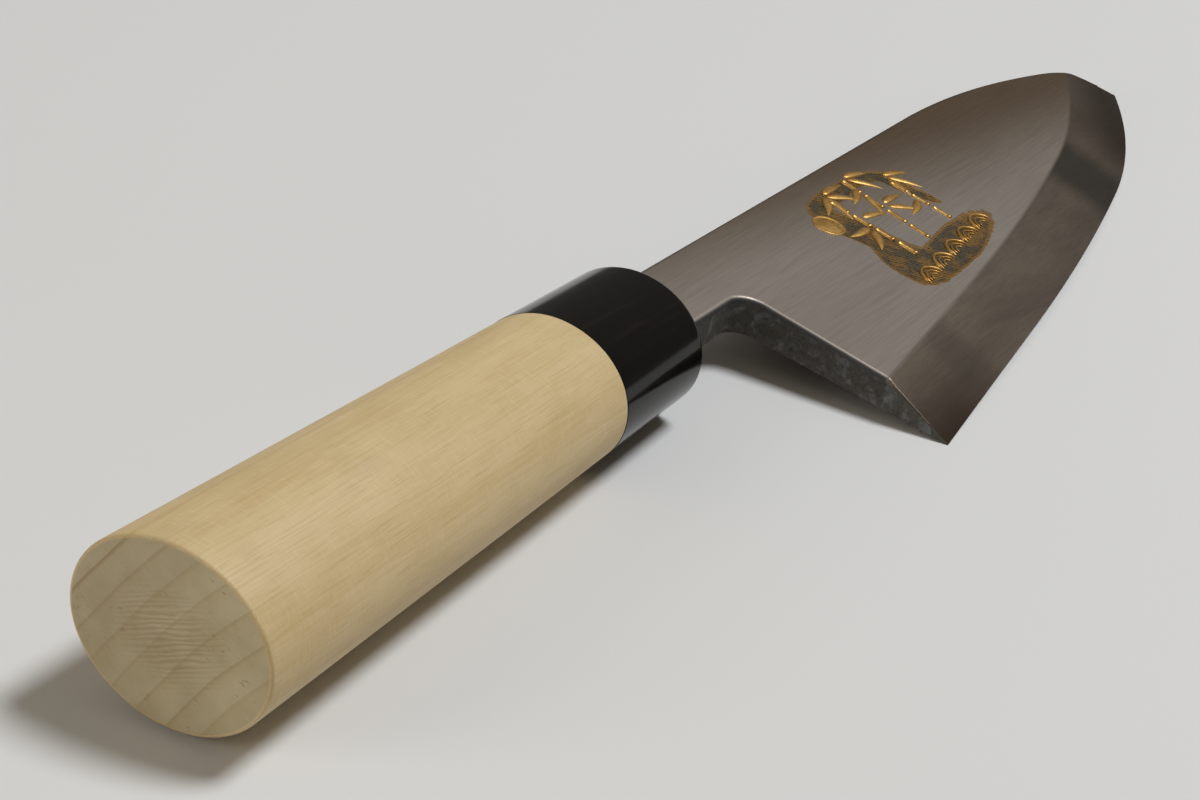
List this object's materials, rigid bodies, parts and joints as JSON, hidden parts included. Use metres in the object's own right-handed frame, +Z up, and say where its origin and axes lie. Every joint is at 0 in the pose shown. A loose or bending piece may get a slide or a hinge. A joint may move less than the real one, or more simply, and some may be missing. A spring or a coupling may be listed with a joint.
{
  "type": "deba knife",
  "caption": "Right-handed single-bevel deba kitchen knife: thick steel blade with flush gold inlay, black ferrule and tapered oval wooden handle, lying on its back face.",
  "frame": {"origin": "on the table, under the middle of the knife's length and width", "axes": "+X towards the tip, +Y towards the spine, +Z up from the table with the bevelled face on top"},
  "size_m": [0.3354, 0.065, 0.0282],
  "materials": {
    "blade_iron": "satin flat, polished bevel, black forge scale on the choil, neck and spine",
    "edge_steel": "fine ground",
    "horn": "polished black",
    "magnolia": "sanded, unvarnished",
    "seal_resin": "matt black",
    "gold": "polished, cut with a graver"
  },
  "bodies": {
    "root": {"blade_iron": "blade_iron", "edge_steel": "edge_steel", "ferrule": "horn", "handle_wood": "magnolia", "tang_seal": "seal_resin", "gold_culms": "gold", "gold_leaves": "gold", "gold_moon": "gold", "gold_waves": "gold"}
  },
  "joints": []
}
